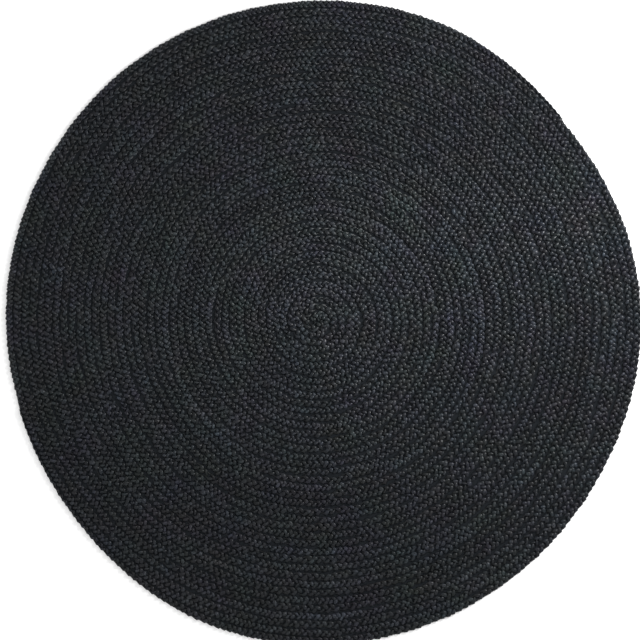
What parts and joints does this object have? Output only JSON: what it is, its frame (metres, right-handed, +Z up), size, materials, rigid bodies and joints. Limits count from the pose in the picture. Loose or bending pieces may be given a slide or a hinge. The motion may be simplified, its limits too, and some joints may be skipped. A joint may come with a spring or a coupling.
{
  "type": "round jute rug",
  "caption": "Round flat rug of dark dyed jute, coiled from alternating fine and coarse plaits sewn edge to edge.",
  "frame": {"origin": "middle of the rug's footprint on the surface it lies on", "axes": "+Z up through the thickness, +Y towards the top edge of the picture, +X to its right"},
  "size_m": [1.494, 1.519, 0.0095],
  "materials": {
    "fine_jute": "tight plait of charcoal-dyed jute yarn, faint sheen on the strand tops",
    "coarse_jute": "looser plait of near-black jute yarn, dull"
  },
  "bodies": {
    "root": {"fine_braid": "fine_jute", "coarse_braid": "coarse_jute"}
  },
  "joints": []
}
